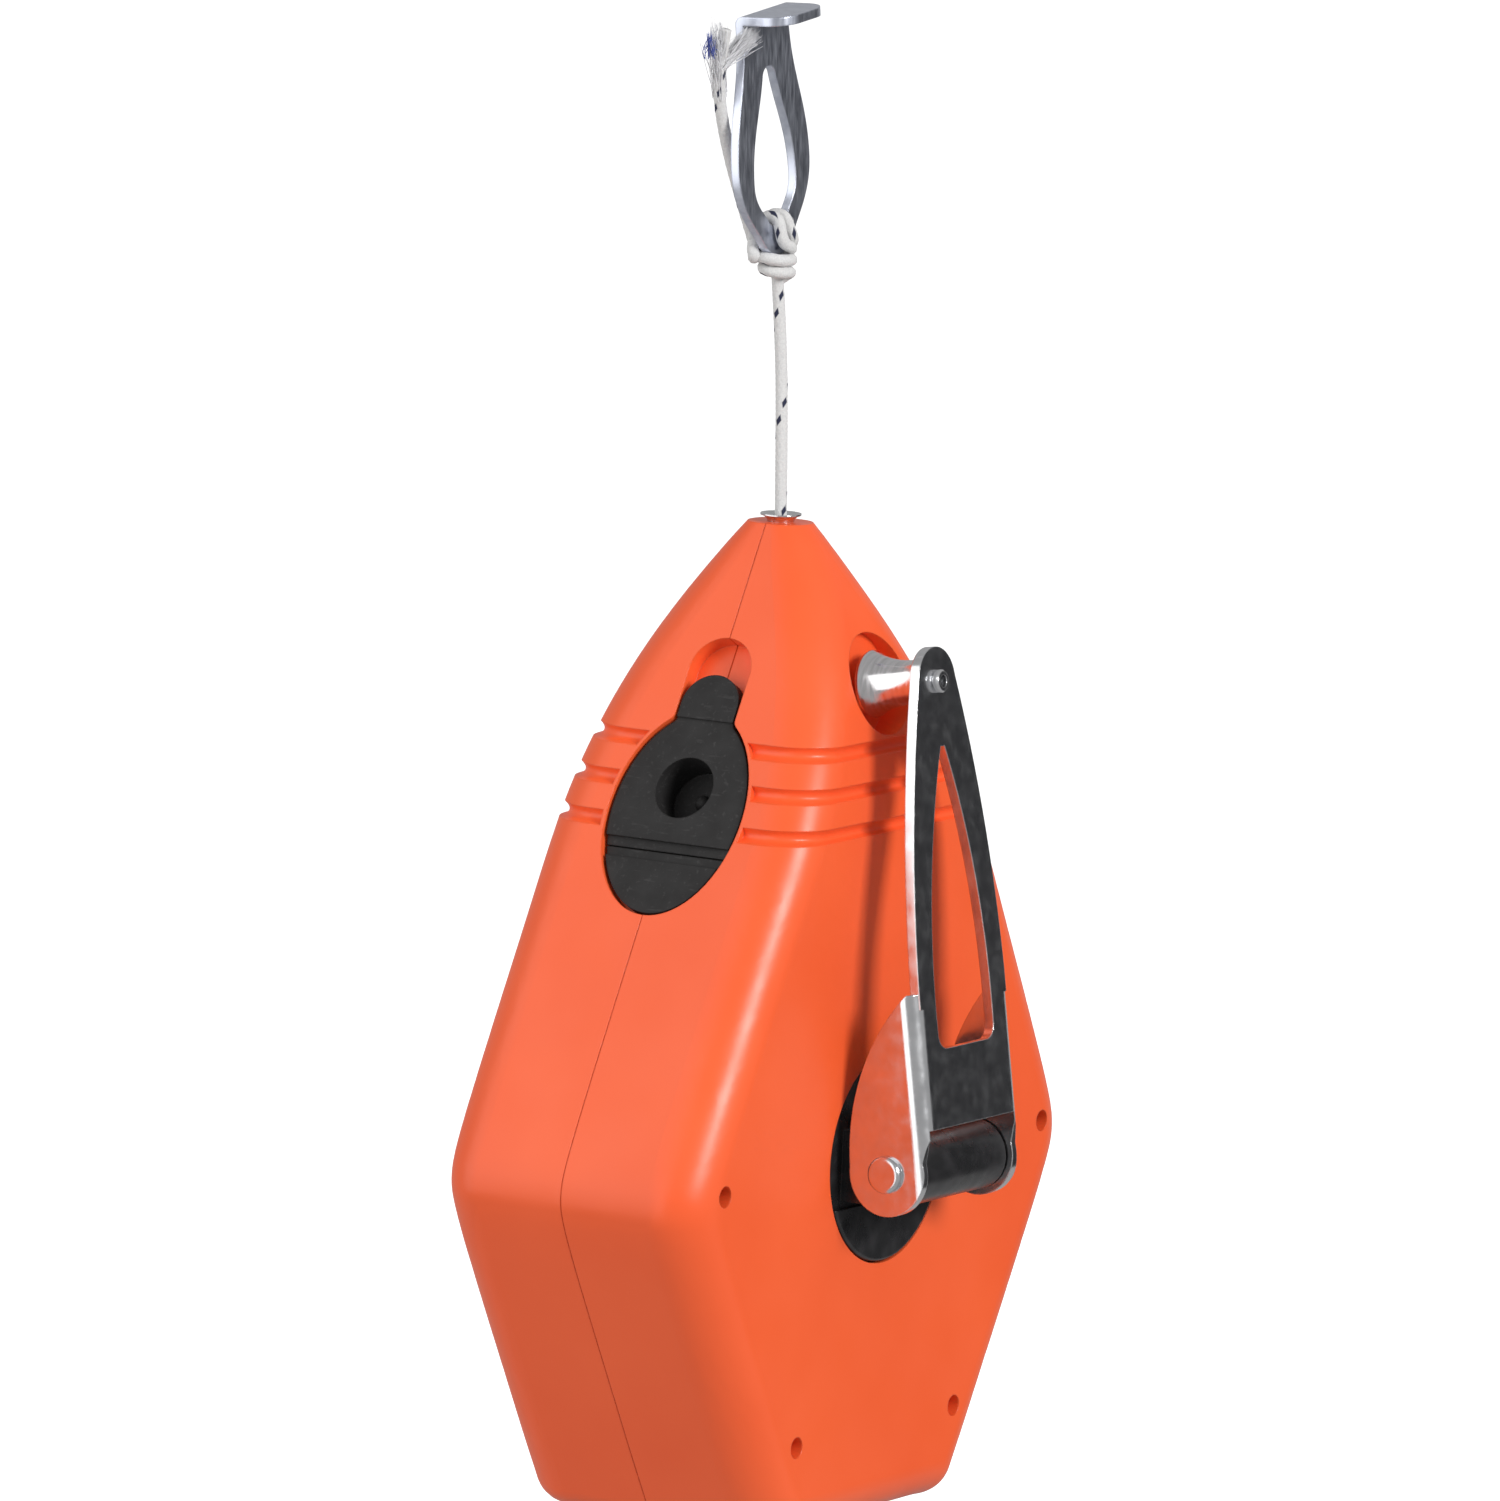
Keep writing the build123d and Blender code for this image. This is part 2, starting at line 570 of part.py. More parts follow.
def arm_outline():
    """The arm's flat web above its ears, from the front."""
    shoulder = EAR_TOP + 0.9
    tip = KNOB_ALONG + 0.6
    middle = (shoulder + tip) / 2 + 1
    right = ThreePointArc(
        (ARM_SHOULDER_HALF_WIDTH, shoulder), (ARM_MIDDLE_HALF_WIDTH, middle), (ARM_TIP_RADIUS, tip)
    )
    left = mirror(right, Plane.YZ)
    top = ThreePointArc((ARM_TIP_RADIUS, tip), (0, KNOB_ALONG + 4.6), (-ARM_TIP_RADIUS, tip))
    foot = Polyline(
        (-ARM_SHOULDER_HALF_WIDTH, shoulder),
        (-ARM_SHOULDER_HALF_WIDTH, shoulder - 3),
        (ARM_SHOULDER_HALF_WIDTH, shoulder - 3),
        (ARM_SHOULDER_HALF_WIDTH, shoulder),
    )
    return make_face(right + top + left + foot)


def arm_window():
    """The long rounded triangle cut out of the web."""
    foot_corner = (WINDOW_HALF_WIDTH - 0.2, WINDOW_FOOT)
    side = ThreePointArc(foot_corner, (5.6, 37.5), (0.5, WINDOW_TOP))
    other = mirror(side, Plane.YZ)
    top = Line((0.5, WINDOW_TOP), (-0.5, WINDOW_TOP))
    foot = Line(foot_corner, (-foot_corner[0], foot_corner[1]))
    face = make_face(side + top + other + foot)
    return fillet(face.vertices().group_by(Axis.Y)[0], 2.0)


def ear_outline():
    """One ear and the edge of the web from the side: (along the arm, outwards)."""
    web_top = EAR_TOP
    start = (1.2, -5.52)
    inner = ThreePointArc(start, (14.0, -2.3), (web_top, ARM_OUTER - SHEET))
    foot = (ARM_FOOT - 0.6, ARM_OUTER)
    outer = Polyline((web_top, ARM_OUTER - SHEET), (web_top, ARM_OUTER), foot)
    front = ThreePointArc(foot, (3.2, 6.1), (1.2, 5.52))
    round_end = ThreePointArc((1.2, 5.52), (-EAR_RADIUS, 0), start)
    return make_face(inner + outer + front + round_end)


def crank_arm():
    channel = Pos(0, 20, ARM_OUTER - 10) * Box(2 * ARM_HALF_WIDTH, 80, 20)
    edges = channel.edges().filter_by(Axis.Y).group_by(Axis.Z)[-1]
    channel = fillet(edges, ARM_BEND_RADIUS)
    inside_half = ARM_HALF_WIDTH - SHEET
    inside = Pos(0, 20, ARM_OUTER - SHEET - 12) * Box(2 * inside_half, 90, 24)
    inner_edges = inside.edges().filter_by(Axis.Y).group_by(Axis.Z)[-1]
    channel -= fillet(inner_edges, ARM_BEND_RADIUS - SHEET + 0.2)
    sideways = Plane(origin=(-20, 0, 0), x_dir=(0, 1, 0), z_dir=(1, 0, 0))
    ears = channel & (sideways * extrude(ear_outline(), 40))
    ears -= Pos(0, ARM_FOOT - 10, ARM_OUTER) * Box(2 * inside_half, 20, 8)
    web = Pos(0, 0, ARM_OUTER - SHEET) * extrude(arm_outline(), SHEET)
    arm = ears + web
    arm -= Pos(0, 0, ARM_OUTER - 3) * extrude(arm_window(), 6)
    arm -= Pos(0, KNOB_ALONG, ARM_OUTER) * Cylinder(RIVET_RADIUS, 10)
    arm -= Rot(0, 90, 0) * Cylinder(PIN_RADIUS, 60)
    return ARM * arm


def crank_pin():
    pin = Cylinder(PIN_RADIUS, 2 * ARM_HALF_WIDTH + 0.4)
    for side in (-1, 1):
        head = Cylinder(PIN_HEAD_RADIUS, PIN_HEAD_HEIGHT)
        rim = head.edges().group_by(Axis.Z)[-1 if side > 0 else 0]
        head = fillet(rim, 0.6)
        pin += Pos(0, 0, side * (ARM_HALF_WIDTH + PIN_HEAD_HEIGHT / 2)) * head
    return ARM * Rot(0, 90, 0) * pin


def crank_knob():
    plate_end = ARM_OUTER - SHEET - KNOB_WASHER - 0.15
    outer = Spline(
        (KNOB_WAIST_RADIUS + 0.2, 0, plate_end),
        (KNOB_WAIST_RADIUS, 0, 2.2),
        (KNOB_WAIST_RADIUS + 0.5, 0, -0.7),
        (KNOB_FLARE_RADIUS, 0, -3.0),
    )
    bore = RIVET_RADIUS + RUNNING_CLEARANCE
    seat = RIVET_RADIUS + 1.2
    rest = Polyline(
        (KNOB_FLARE_RADIUS, 0, -3.0),
        (KNOB_FLARE_RADIUS - 0.05, 0, -3.35),
        (KNOB_FLARE_RADIUS - 0.45, 0, KNOB_INNER),
        (seat, 0, KNOB_INNER),
        (seat, 0, KNOB_INNER + 1.2),
        (bore, 0, KNOB_INNER + 1.2),
        (bore, 0, plate_end),
        (KNOB_WAIST_RADIUS + 0.2, 0, plate_end),
    )
    return ARM * Pos(0, KNOB_ALONG, 0) * revolve(make_face(outer + rest), Axis.Z)


def knob_washer():
    low = ARM_OUTER - SHEET - KNOB_WASHER
    ring = Cylinder(KNOB_WAIST_RADIUS + 0.35, KNOB_WASHER) - Cylinder(RIVET_RADIUS, 5)
    return ARM * Pos(0, KNOB_ALONG, low + KNOB_WASHER / 2) * ring


def knob_rivet():
    """A tubular rivet: a rolled rim outside the web, and a head sunk in the knob's free end."""
    rim = ARM_OUTER
    head = KNOB_INNER + 0.3
    shape = turned(
        (
            (0.0, head),
            (RIVET_RADIUS + 1.0, head),
            (RIVET_RADIUS + 1.0, head + 0.75),
            (RIVET_RADIUS, head + 0.75),
            (RIVET_RADIUS, rim + 0.01),
            (RIVET_RADIUS + 0.25, rim + 0.2),
            (RIVET_RADIUS + 0.25, rim + 0.75),
            (RIVET_RADIUS, rim + 1.0),
            (RIVET_RADIUS - 0.5, rim + 1.0),
            (RIVET_RADIUS - 0.6, rim - 1.0),
            (0.0, rim - 1.0),
        )
    )
    return ARM * Pos(0, KNOB_ALONG, 0) * shape


# --- Line pieces ---


def line_hook():
    """A stamped hook: a pear-shaped plate with a window, and a tab bent forwards at its top."""
    lower = Spline(HOOK_TIP, HOOK_WAIST, tangents=(HOOK_FOOT_SLOPE, (0, 1)))
    upper = Spline(HOOK_WAIST, HOOK_NECK, tangents=((0, 1), (0, 1)))
    top = (HOOK_NECK[0], HOOK_HEIGHT)
    right = lower + upper + Line(HOOK_NECK, top)
    foot = ThreePointArc(HOOK_TIP, (0, -0.3), (-HOOK_TIP[0], HOOK_TIP[1]))
    outline = make_face(right + foot + mirror(right, Plane.YZ) + Line(top, (-top[0], top[1])))
    back = -HOOK_SHEET / 2
    plate = Pos(0, 0, back) * extrude(outline - hook_window(), HOOK_SHEET)
    tab = Pos(0, HOOK_HEIGHT - HOOK_SHEET / 2, back + HOOK_TAB_LENGTH / 2)
    tab *= Box(2 * HOOK_NECK[0], HOOK_SHEET, HOOK_TAB_LENGTH)
    tab = fillet(tab.edges().filter_by(Axis.Y).group_by(Axis.Z)[-1], HOOK_TAB_CORNER)
    hook = plate + tab
    top_edges = hook.edges().filter_by(Axis.X).group_by(Axis.Y)[-1]
    return HOOK * fillet(top_edges.sort_by(Axis.Z)[0], HOOK_BEND_RADIUS)


def hook_window():
    """The window in the hook's plate: a tall teardrop, round at its foot and its top."""
    low = HOOK_WINDOW_FOOT
    lower = Spline(low, HOOK_WINDOW_WAIST, tangents=(HOOK_FOOT_SLOPE, (0, 1)))
    upper = Spline(HOOK_WINDOW_WAIST, HOOK_WINDOW_TOP, tangents=((0, 1), HOOK_WINDOW_TAPER))
    side = lower + upper
    foot = ThreePointArc(low, (0, HOOK_WINDOW_LOW), (-low[0], low[1]))
    top_left = (-HOOK_WINDOW_TOP[0], HOOK_WINDOW_TOP[1])
    top = ThreePointArc(HOOK_WINDOW_TOP, (0, HOOK_WINDOW_HIGH), top_left)
    return make_face(side + foot + mirror(side, Plane.YZ) + top)


def line_knot(hook):
    """The knot's outer shape below the hook, with the loop that passes through the window."""
    middle = HOOK_WINDOW_LOW / 2
    reach = middle + LINE_DIAMETER / 2 + 0.12
    loop = Pos(0, middle, 0) * Rot(0, 90, 0) * Torus(reach, LINE_DIAMETER / 2)
    lump = Pos(*KNOT_CENTRE) * Sphere(KNOT_RADIUS)
    return HOOK * (loop + lump) - hook


def write(name, shape):
    """Write one node, moved so that the hanging point is the origin."""
    placed = Pos(*(-HANG_POINT)) * shape
    placed.label = name
    export_step(placed, f"parts/{name}.step")


os.makedirs("parts", exist_ok=True)
whole_case = shell(case_body(), case_cavity())
front = front_shell(whole_case)
inner_line = tube(INSIDE_ROUTE, LINE_DIAMETER)
hook = line_hook()
knot = line_knot(hook)
free_line = LINE * tube(LINE_ROUTE, LINE_DIAMETER) - knot
tail = HOOK * tube(TAIL_ROUTE, LINE_DIAMETER) - knot

nodes = {
    "front_shell": front,
    "rear_shell": rear_shell(whole_case, front),
    "case_screws": case_screws(),
    "fill_plug_flap": plug_flap(),
    "fill_plug_anchor": plug_anchor(),
    "line_eyelet": line_eyelet(),
    "wiper_felt": wiper_felt(inner_line),
    "hub_seal": hub_seal(),
    "rear_bush": rear_bush(),
    "crank_hub": crank_hub(),
    "spool": spool(),
    "spool_screw": spool_screw(),
    "spool_washer": spool_washer(),
    "wound_line": wound_line(),
    "crank_arm": crank_arm(),
    "crank_pin": crank_pin(),
    "crank_knob": crank_knob(),
    "knob_washer": knob_washer(),
    "knob_rivet": knob_rivet(),
    "inner_line": inner_line,
    "free_line": free_line,
    "line_knot": knot,
    "line_tail": tail,
    "line_hook": hook,
}
for node_name, node_shape in nodes.items():
    write(node_name, node_shape)
print("hanging point in the case's axes", HANG_POINT)
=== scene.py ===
import math
import random

import bpy
from mathutils import Matrix, Vector


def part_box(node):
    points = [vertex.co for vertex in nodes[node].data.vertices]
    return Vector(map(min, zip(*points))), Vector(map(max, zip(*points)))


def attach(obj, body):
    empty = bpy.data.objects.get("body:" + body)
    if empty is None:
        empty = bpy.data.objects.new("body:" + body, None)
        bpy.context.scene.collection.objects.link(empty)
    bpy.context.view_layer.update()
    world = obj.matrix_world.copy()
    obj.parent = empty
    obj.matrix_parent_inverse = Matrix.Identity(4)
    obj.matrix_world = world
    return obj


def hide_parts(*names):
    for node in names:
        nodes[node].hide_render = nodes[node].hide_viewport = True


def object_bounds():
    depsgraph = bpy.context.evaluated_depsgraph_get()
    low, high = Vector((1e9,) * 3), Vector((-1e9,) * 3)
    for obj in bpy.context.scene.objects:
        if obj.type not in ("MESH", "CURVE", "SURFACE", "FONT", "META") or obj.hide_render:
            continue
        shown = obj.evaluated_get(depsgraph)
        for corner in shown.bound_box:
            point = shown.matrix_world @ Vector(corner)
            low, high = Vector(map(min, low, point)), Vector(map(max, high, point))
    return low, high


# Looks for the chalk line reel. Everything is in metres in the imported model's own frame: the
# origin is the underside of the line hook's tab, +Z is up and -Y is the crank's side.

MM = 0.001
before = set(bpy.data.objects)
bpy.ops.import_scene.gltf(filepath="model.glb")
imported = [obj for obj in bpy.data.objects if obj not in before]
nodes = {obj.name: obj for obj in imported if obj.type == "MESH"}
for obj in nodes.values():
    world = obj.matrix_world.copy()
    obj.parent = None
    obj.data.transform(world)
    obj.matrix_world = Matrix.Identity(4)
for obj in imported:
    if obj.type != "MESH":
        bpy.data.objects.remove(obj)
cad_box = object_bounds()
scene = bpy.context.scene

# --- Sizes ---
EYELET_PROUD = 1.1  # the eyelet's rim above the case's top
LINE_LEAN = 2.6  # degrees
HOOK_FOOT = Vector((-1.2, 0.0, 36.0))  # the hook's lower tip, in the line's own axes
HOOK_TILT = 6.5  # degrees
LINE_DIAMETER = 1.7
FLOOR_DROP = 90.0  # from the hanging case's base down to the floor

# Points chosen along each route, as in the CAD, in millimetres in the line's or hook's axes.
LINE_ROUTE = ((0.0, 0.0, -0.95), (0.3, 0.0, 12.0), (0.4, 0.15, 24.0), (-1.0, 0.0, 34.5))
TAIL_ROUTE = (
    (-1.5, 1.5, -2.4),
    (-3.9, 8.6, -2.75),
    (-6.5, 15.6, -2.6),
    (-8.4, 21.8, -2.1),
    (-9.3, 27.0, -1.2),
    (-9.0, 31.5, 0.0),
)
# The knotted strand: two turns round the line, twice up in front of the hook's foot and through
# its window, then round behind to where the tail leaves.
KNOT_ROUTE = (
    (0.3, -3.9, 0.0),
    (1.4, -3.2, 0.8),
    (0.6, -2.8, 1.8),
    (-1.3, -2.6, 1.6),
    (-2.2, -2.2, 0.0),
    (-1.1, -2.0, -1.7),
    (1.2, -1.8, -1.7),
    (2.2, -1.5, 0.2),
    (1.0, -1.2, 2.0),
    (-1.2, -1.0, 2.0),
    (-2.4, -0.6, 0.8),
    (-2.3, -0.4, -0.9),
    (-0.8, -0.6, -2.0),
    (1.2, -0.6, -1.7),
    (2.3, -0.3, 0.3),
    (1.2, 0.3, 1.9),
    (-0.7, 1.3, 1.7),
    (-0.9, 3.0, 1.5),
    (-0.8, 4.8, 1.2),
    (-0.7, 4.9, -1.2),
    (-0.4, 2.2, -1.6),
    (0.6, 0.4, -1.9),
    (2.1, -0.1, -1.0),
    (2.6, 0.5, 0.8),
    (1.7, 1.5, 1.8),
    (1.0, 3.2, 1.6),
    (0.9, 4.8, 1.3),
    (0.9, 4.9, -1.2),
    (0.5, 2.2, -1.8),
    (-0.7, 0.4, -2.4),
    (-2.3, -0.6, -2.1),
    (-3.2, -0.1, -1.4),
    (-2.8, 1.0, -1.9),
    (-1.5, 1.5, -2.4),
)
eyelet_low, eyelet_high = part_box("line_eyelet")
NOSE = (eyelet_low + eyelet_high) / (2 * MM)  # middle of the case's top, in mm
NOSE.z = eyelet_high.z / MM - EYELET_PROUD
LINE_AXES = Matrix.Translation(NOSE) @ Matrix.Rotation(math.radians(-LINE_LEAN), 4, "X")
HOOK_AXES = (
    LINE_AXES
    @ Matrix.Translation(HOOK_FOOT)
    @ Matrix.Rotation(math.radians(-HOOK_TILT), 4, "Y")
    @ Matrix.Rotation(math.radians(90), 4, "X")
)


def place(axes, point):
    """A point given in millimetres in some axes, in metres in the model's frame."""
    return (axes @ Vector(point)) * MM


# --- Camera ---

CAMERA_AIM = Vector((2.74, 5.07, -31.64))  # from the nose, in mm
CAMERA_BACK = Vector((-0.8439, -0.5170, 0.1436))
CAMERA_UP = Vector((0.1022, 0.1079, 0.9889))
CAMERA_DISTANCE = 1.9094  # metres
CAMERA_LENS = 343.2
SENSOR = 36.0


def add_camera():
    """The camera, placed from the nose by the aim, directions and distance above."""
    back = CAMERA_BACK.normalized()
    right = CAMERA_UP.cross(back).normalized()
    up = back.cross(right)
    data = bpy.data.cameras.new("camera")
    data.lens = CAMERA_LENS
    data.sensor_width = SENSOR
    data.clip_start = 0.05
    data.clip_end = 60.0
    camera = bpy.data.objects.new("camera", data)
    scene.collection.objects.link(camera)
    turn = Matrix((right, up, back)).transposed().to_4x4()
    aim = (NOSE + CAMERA_AIM) * MM
    camera.matrix_world = Matrix.Translation(aim + back * CAMERA_DISTANCE) @ turn
    scene.camera = camera


# --- Node helpers ---


class Nodes:
    """A material's node tree, with short calls to add and join nodes."""

    def __init__(self, name):
        self.material = bpy.data.materials.new(name)
        self.material.use_nodes = True
        self.tree = self.material.node_tree
        self.shader = self.tree.nodes["Principled BSDF"]

    def add(self, kind, inputs=(), **settings):
        node = self.tree.nodes.new(kind)
        for key, value in settings.items():
            setattr(node, key, value)
        for key, value in dict(inputs).items():
            self.put(node, key, value)
        return node

    def put(self, node, key, value):
        if isinstance(value, bpy.types.NodeSocket):
            self.tree.links.new(value, node.inputs[key])
        else:
            node.inputs[key].default_value = value

    def set(self, **values):
        for key, value in values.items():
            self.put(self.shader, key.replace("_", " "), value)

    def math(self, operation, *values):
        node = self.add("ShaderNodeMath", enumerate(values), operation=operation)
        return node.outputs[0]

    def noise(self, scale, detail=3.0, stretch=(1.0, 1.0, 1.0)):
        """Noise over the object, where scale is in features per metre."""
        where = self.add("ShaderNodeTexCoord").outputs["Object"]
        mapped = self.add("ShaderNodeMapping", {"Vector": where, "Scale": stretch})
        inputs = {"Vector": mapped.outputs[0], "Scale": scale, "Detail": detail}
        return self.add("ShaderNodeTexNoise", inputs).outputs["Fac"]

    def ramp(self, value, low, high, to_low, to_high):
        inputs = {0: value, 1: low, 2: high, 3: to_low, 4: to_high}
        return self.add("ShaderNodeMapRange", inputs).outputs[0]

    def blend(self, value, colour_a, colour_b):
        """From one colour to another; either may be a socket."""
        node = self.add("ShaderNodeMix", data_type="RGBA")
        for index, item in ((0, value), (6, colour_a), (7, colour_b)):
            opaque = (*item, 1.0) if isinstance(item, tuple) else item
            self.put(node, index, opaque)
        return node.outputs[2]

    def bump(self, height, strength, distance, edge=0.0):
        """Relief on the surface, over edges that look rounded by a radius in metres."""
        inputs = {"Height": height, "Strength": strength, "Distance": distance}
        if edge:
            inputs["Normal"] = self.add("ShaderNodeBevel", {"Radius": edge}).outputs[0]
        self.set(Normal=self.add("ShaderNodeBump", inputs).outputs[0])


# --- Materials ---

NAVY = (0.018, 0.022, 0.055)
FLECK_PITCH = 2.4  # mm along the line between one fleck of the tracer yarn and the next
FLECKS_A_TURN = 6.0
FLECK_HALF_LENGTH = 0.85
FLECK_HALF_WIDTH = 0.42
FLECK_SLANT = 0.35


def case_plastic():
    """Satin orange moulding with faint flow marks and a fine grain."""
    m = Nodes("case_plastic")
    tone = m.ramp(m.noise(38.0), 0.3, 0.7, 0.0, 1.0)
    m.set(Base_Color=m.blend(tone, (0.91, 0.113, 0.027), (0.96, 0.131, 0.035)))
    m.set(Roughness=m.ramp(m.noise(120.0, 5.0), 0.3, 0.7, 0.30, 0.40))
    m.set(IOR=1.46)
    m.bump(m.noise(3200.0, 2.0), 0.10, 0.00003, edge=0.00025)
    return m.material


def plug_rubber():
    """Matt dark rubber with pale dust specks and short fine scratches."""
    m = Nodes("plug_rubber")
    specks = m.ramp(m.noise(1500.0, 4.0), 0.60, 0.74, 0.0, 0.35)
    scratch = m.ramp(m.noise(700.0, 4.0, (1.0, 0.5, 3.0)), 0.62, 0.72, 0.0, 0.25)
    marks = m.math("MAXIMUM", specks, scratch)
    m.set(Base_Color=m.blend(marks, (0.017, 0.016, 0.016), (0.075, 0.072, 0.072)))
    m.set(Specular_IOR_Level=0.35)
    m.set(Roughness=m.ramp(m.noise(300.0), 0.3, 0.7, 0.55, 0.75))
    m.bump(m.noise(1800.0, 4.0), 0.35, 0.00006, edge=0.0003)
    return m.material


def black_plastic():
    """Glossy black nylon with faint patches of wear."""
    m = Nodes("black_plastic")
    wear = m.ramp(m.noise(420.0, 4.0), 0.45, 0.75, 0.0, 1.0)
    m.set(Base_Color=m.blend(wear, (0.015, 0.015, 0.016), (0.030, 0.029, 0.031)))
    m.set(Roughness=m.ramp(m.noise(260.0, 3.0), 0.3, 0.7, 0.22, 0.38))
    m.bump(m.noise(1500.0), 0.12, 0.00003, edge=0.0002)
    return m.material


def pale_plastic(name, colour, darker):
    """Satin moulded plastic that varies a little between two pale colours."""
    m = Nodes(name)
    m.set(Base_Color=m.blend(m.noise(90.0), colour, darker))
    m.set(Roughness=m.ramp(m.noise(400.0), 0.3, 0.7, 0.38, 0.52))
    m.bump(m.noise(2500.0), 0.1, 0.00003, edge=0.0002)
    return m.material


def plated_steel():
    """Bright plated sheet under a mottled haze."""
    m = Nodes("plated_steel")
    haze = m.noise(330.0, 6.0)
    m.set(Base_Color=m.blend(haze, (0.60, 0.61, 0.63), (0.84, 0.84, 0.85)))
    m.set(Metallic=1.0)
    m.set(Roughness=m.ramp(m.noise(520.0, 6.0), 0.3, 0.7, 0.13, 0.27))
    m.bump(m.noise(900.0, 5.0), 0.18, 0.00003, edge=0.00022)
    return m.material


def hook_steel():
    """Zinc-plated sheet, bluish and a little rough, with fine marks along the hook."""
    m = Nodes("hook_steel")
    marks = m.noise(900.0, 5.0, (2.5, 1.0, 0.35))
    m.set(Base_Color=m.blend(marks, (0.50, 0.54, 0.66), (0.86, 0.89, 0.97)))
    m.set(Metallic=1.0)
    m.set(Roughness=m.ramp(marks, 0.3, 0.7, 0.28, 0.42))
    m.bump(marks, 0.2, 0.00003, edge=0.0003)
    return m.material


def turned_aluminium():
    """Polished aluminium with fine rings round Y, which is close to the knob's own axis."""
    m = Nodes("turned_aluminium")
    rings = m.noise(2600.0, 2.0, (0.05, 1.0, 0.15))
    m.set(Base_Color=m.blend(rings, (0.58, 0.56, 0.57), (0.95, 0.94, 0.95)))
    m.set(Metallic=1.0)
    m.set(Roughness=m.ramp(rings, 0.3, 0.7, 0.10, 0.24))
    m.bump(rings, 0.15, 0.00002, edge=0.00015)
    return m.material


def zinc_steel():
    """Dull plated steel for the screws and the spool's washer."""
    m = Nodes("zinc_steel")
    m.set(Base_Color=m.blend(m.noise(700.0, 4.0), (0.42, 0.42, 0.44), (0.62, 0.62, 0.63)))
    m.set(Metallic=1.0)
    m.set(Roughness=m.ramp(m.noise(900.0), 0.3, 0.7, 0.25, 0.42))
    m.bump(m.noise(1400.0), 0.2, 0.00003, edge=0.00015)
    return m.material


def wool_felt():
    """Off-white felt with a fibrous surface."""
    m = Nodes("wool_felt")
    m.set(Base_Color=m.blend(m.noise(1200.0, 6.0), (0.52, 0.50, 0.46), (0.80, 0.78, 0.74)))
    m.set(Roughness=0.95)
    m.set(Sheen_Weight=0.3)
    m.bump(m.noise(2600.0, 6.0), 0.7, 0.00015)
    return m.material


def wound_cotton():
    """The line inside the case: ridges one line wide, as on a full spool, with navy flecks. Its
    colour is darker in the valleys between the ridges, as painted shade.
    """
    m = Nodes("wound_cotton")
    where = m.add("ShaderNodeTexCoord").outputs["Object"]
    across = m.add("ShaderNodeSeparateXYZ", {0: where}).outputs[1]
    ridge = m.math("PINGPONG", across, LINE_DIAMETER * MM / 2)
    height = m.ramp(ridge, 0.0, LINE_DIAMETER * MM / 2, 0.0, 1.0)
    # painted shade: the base colour goes from grey in the valleys between the ridges to white on
    # their tops
    shade = m.blend(height, (0.50, 0.51, 0.53), (0.84, 0.84, 0.84))
    m.set(Base_Color=m.blend(m.ramp(m.noise(1600.0), 0.68, 0.72, 0.0, 1.0), shade, NAVY))
    m.set(Roughness=0.85)
    m.bump(height, 0.9, 0.0004)
    return m.material


def braid():
    """White braid. Its UV map holds the turn round the line and the millimetres along it."""
    m = Nodes("braid")
    uv = m.add("ShaderNodeSeparateXYZ", {0: m.add("ShaderNodeUVMap").outputs[0]})
    turn, along = uv.outputs[0], uv.outputs[1]
    index = m.math("ROUND", m.math("DIVIDE", along, FLECK_PITCH))
    off_along = m.math("SUBTRACT", along, m.math("MULTIPLY", index, FLECK_PITCH))
    off_turn = m.math("SUBTRACT", turn, m.math("DIVIDE", index, FLECKS_A_TURN))
    wrapped = m.math("WRAP", off_turn, 0.5, -0.5)
    off_across = m.math("MULTIPLY", wrapped, math.pi * LINE_DIAMETER)
    slanted = m.math("SUBTRACT", off_across, m.math("MULTIPLY", off_along, FLECK_SLANT))
    long_part = m.math("DIVIDE", m.math("ABSOLUTE", off_along), FLECK_HALF_LENGTH)
    wide_part = m.math("DIVIDE", m.math("ABSOLUTE", slanted), FLECK_HALF_WIDTH)
    fleck = m.ramp(m.math("ADD", long_part, wide_part), 0.8, 1.1, 1.0, 0.0)
    fibres = m.noise(4200.0, 3.0)
    white = m.blend(fibres, (0.52, 0.52, 0.53), (0.80, 0.79, 0.77))
    m.set(Base_Color=m.blend(fleck, white, NAVY))
    m.set(Roughness=0.85)
    m.bump(fibres, 0.7, 0.0001)
    return m.material


def fibre():
    """Loose off-white yarn at the cut end."""
    m = Nodes("fibre")
    m.set(Base_Color=m.blend(m.noise(500.0), (0.66, 0.66, 0.69), (0.82, 0.82, 0.83)))
    m.set(Roughness=0.85)
    m.set(Sheen_Weight=0.3)
    m.bump(m.noise(5000.0), 0.4, 0.00005)
    return m.material


def blue_fibre():
    """Blue yarn at the cut end."""
    m = Nodes("blue_fibre")
    m.set(Base_Color=m.blend(m.noise(800.0), (0.05, 0.08, 0.34), (0.13, 0.17, 0.50)))
    m.set(Roughness=0.8)
    m.bump(m.noise(5000.0), 0.4, 0.00005)
    return m.material


NODE_MATERIALS = {
    case_plastic: ("front_shell", "rear_shell"),
    plug_rubber: ("fill_plug_flap", "fill_plug_anchor"),
    black_plastic: ("crank_hub",),
    plated_steel: (
        "crank_arm", "crank_pin", "knob_washer", "knob_rivet", "line_eyelet",
    ),
    hook_steel: ("line_hook",),
    turned_aluminium: ("crank_knob",),
    zinc_steel: ("case_screws", "spool_screw", "spool_washer"),
    wool_felt: ("wiper_felt", "hub_seal"),
    wound_cotton: ("wound_line", "inner_line"),
}


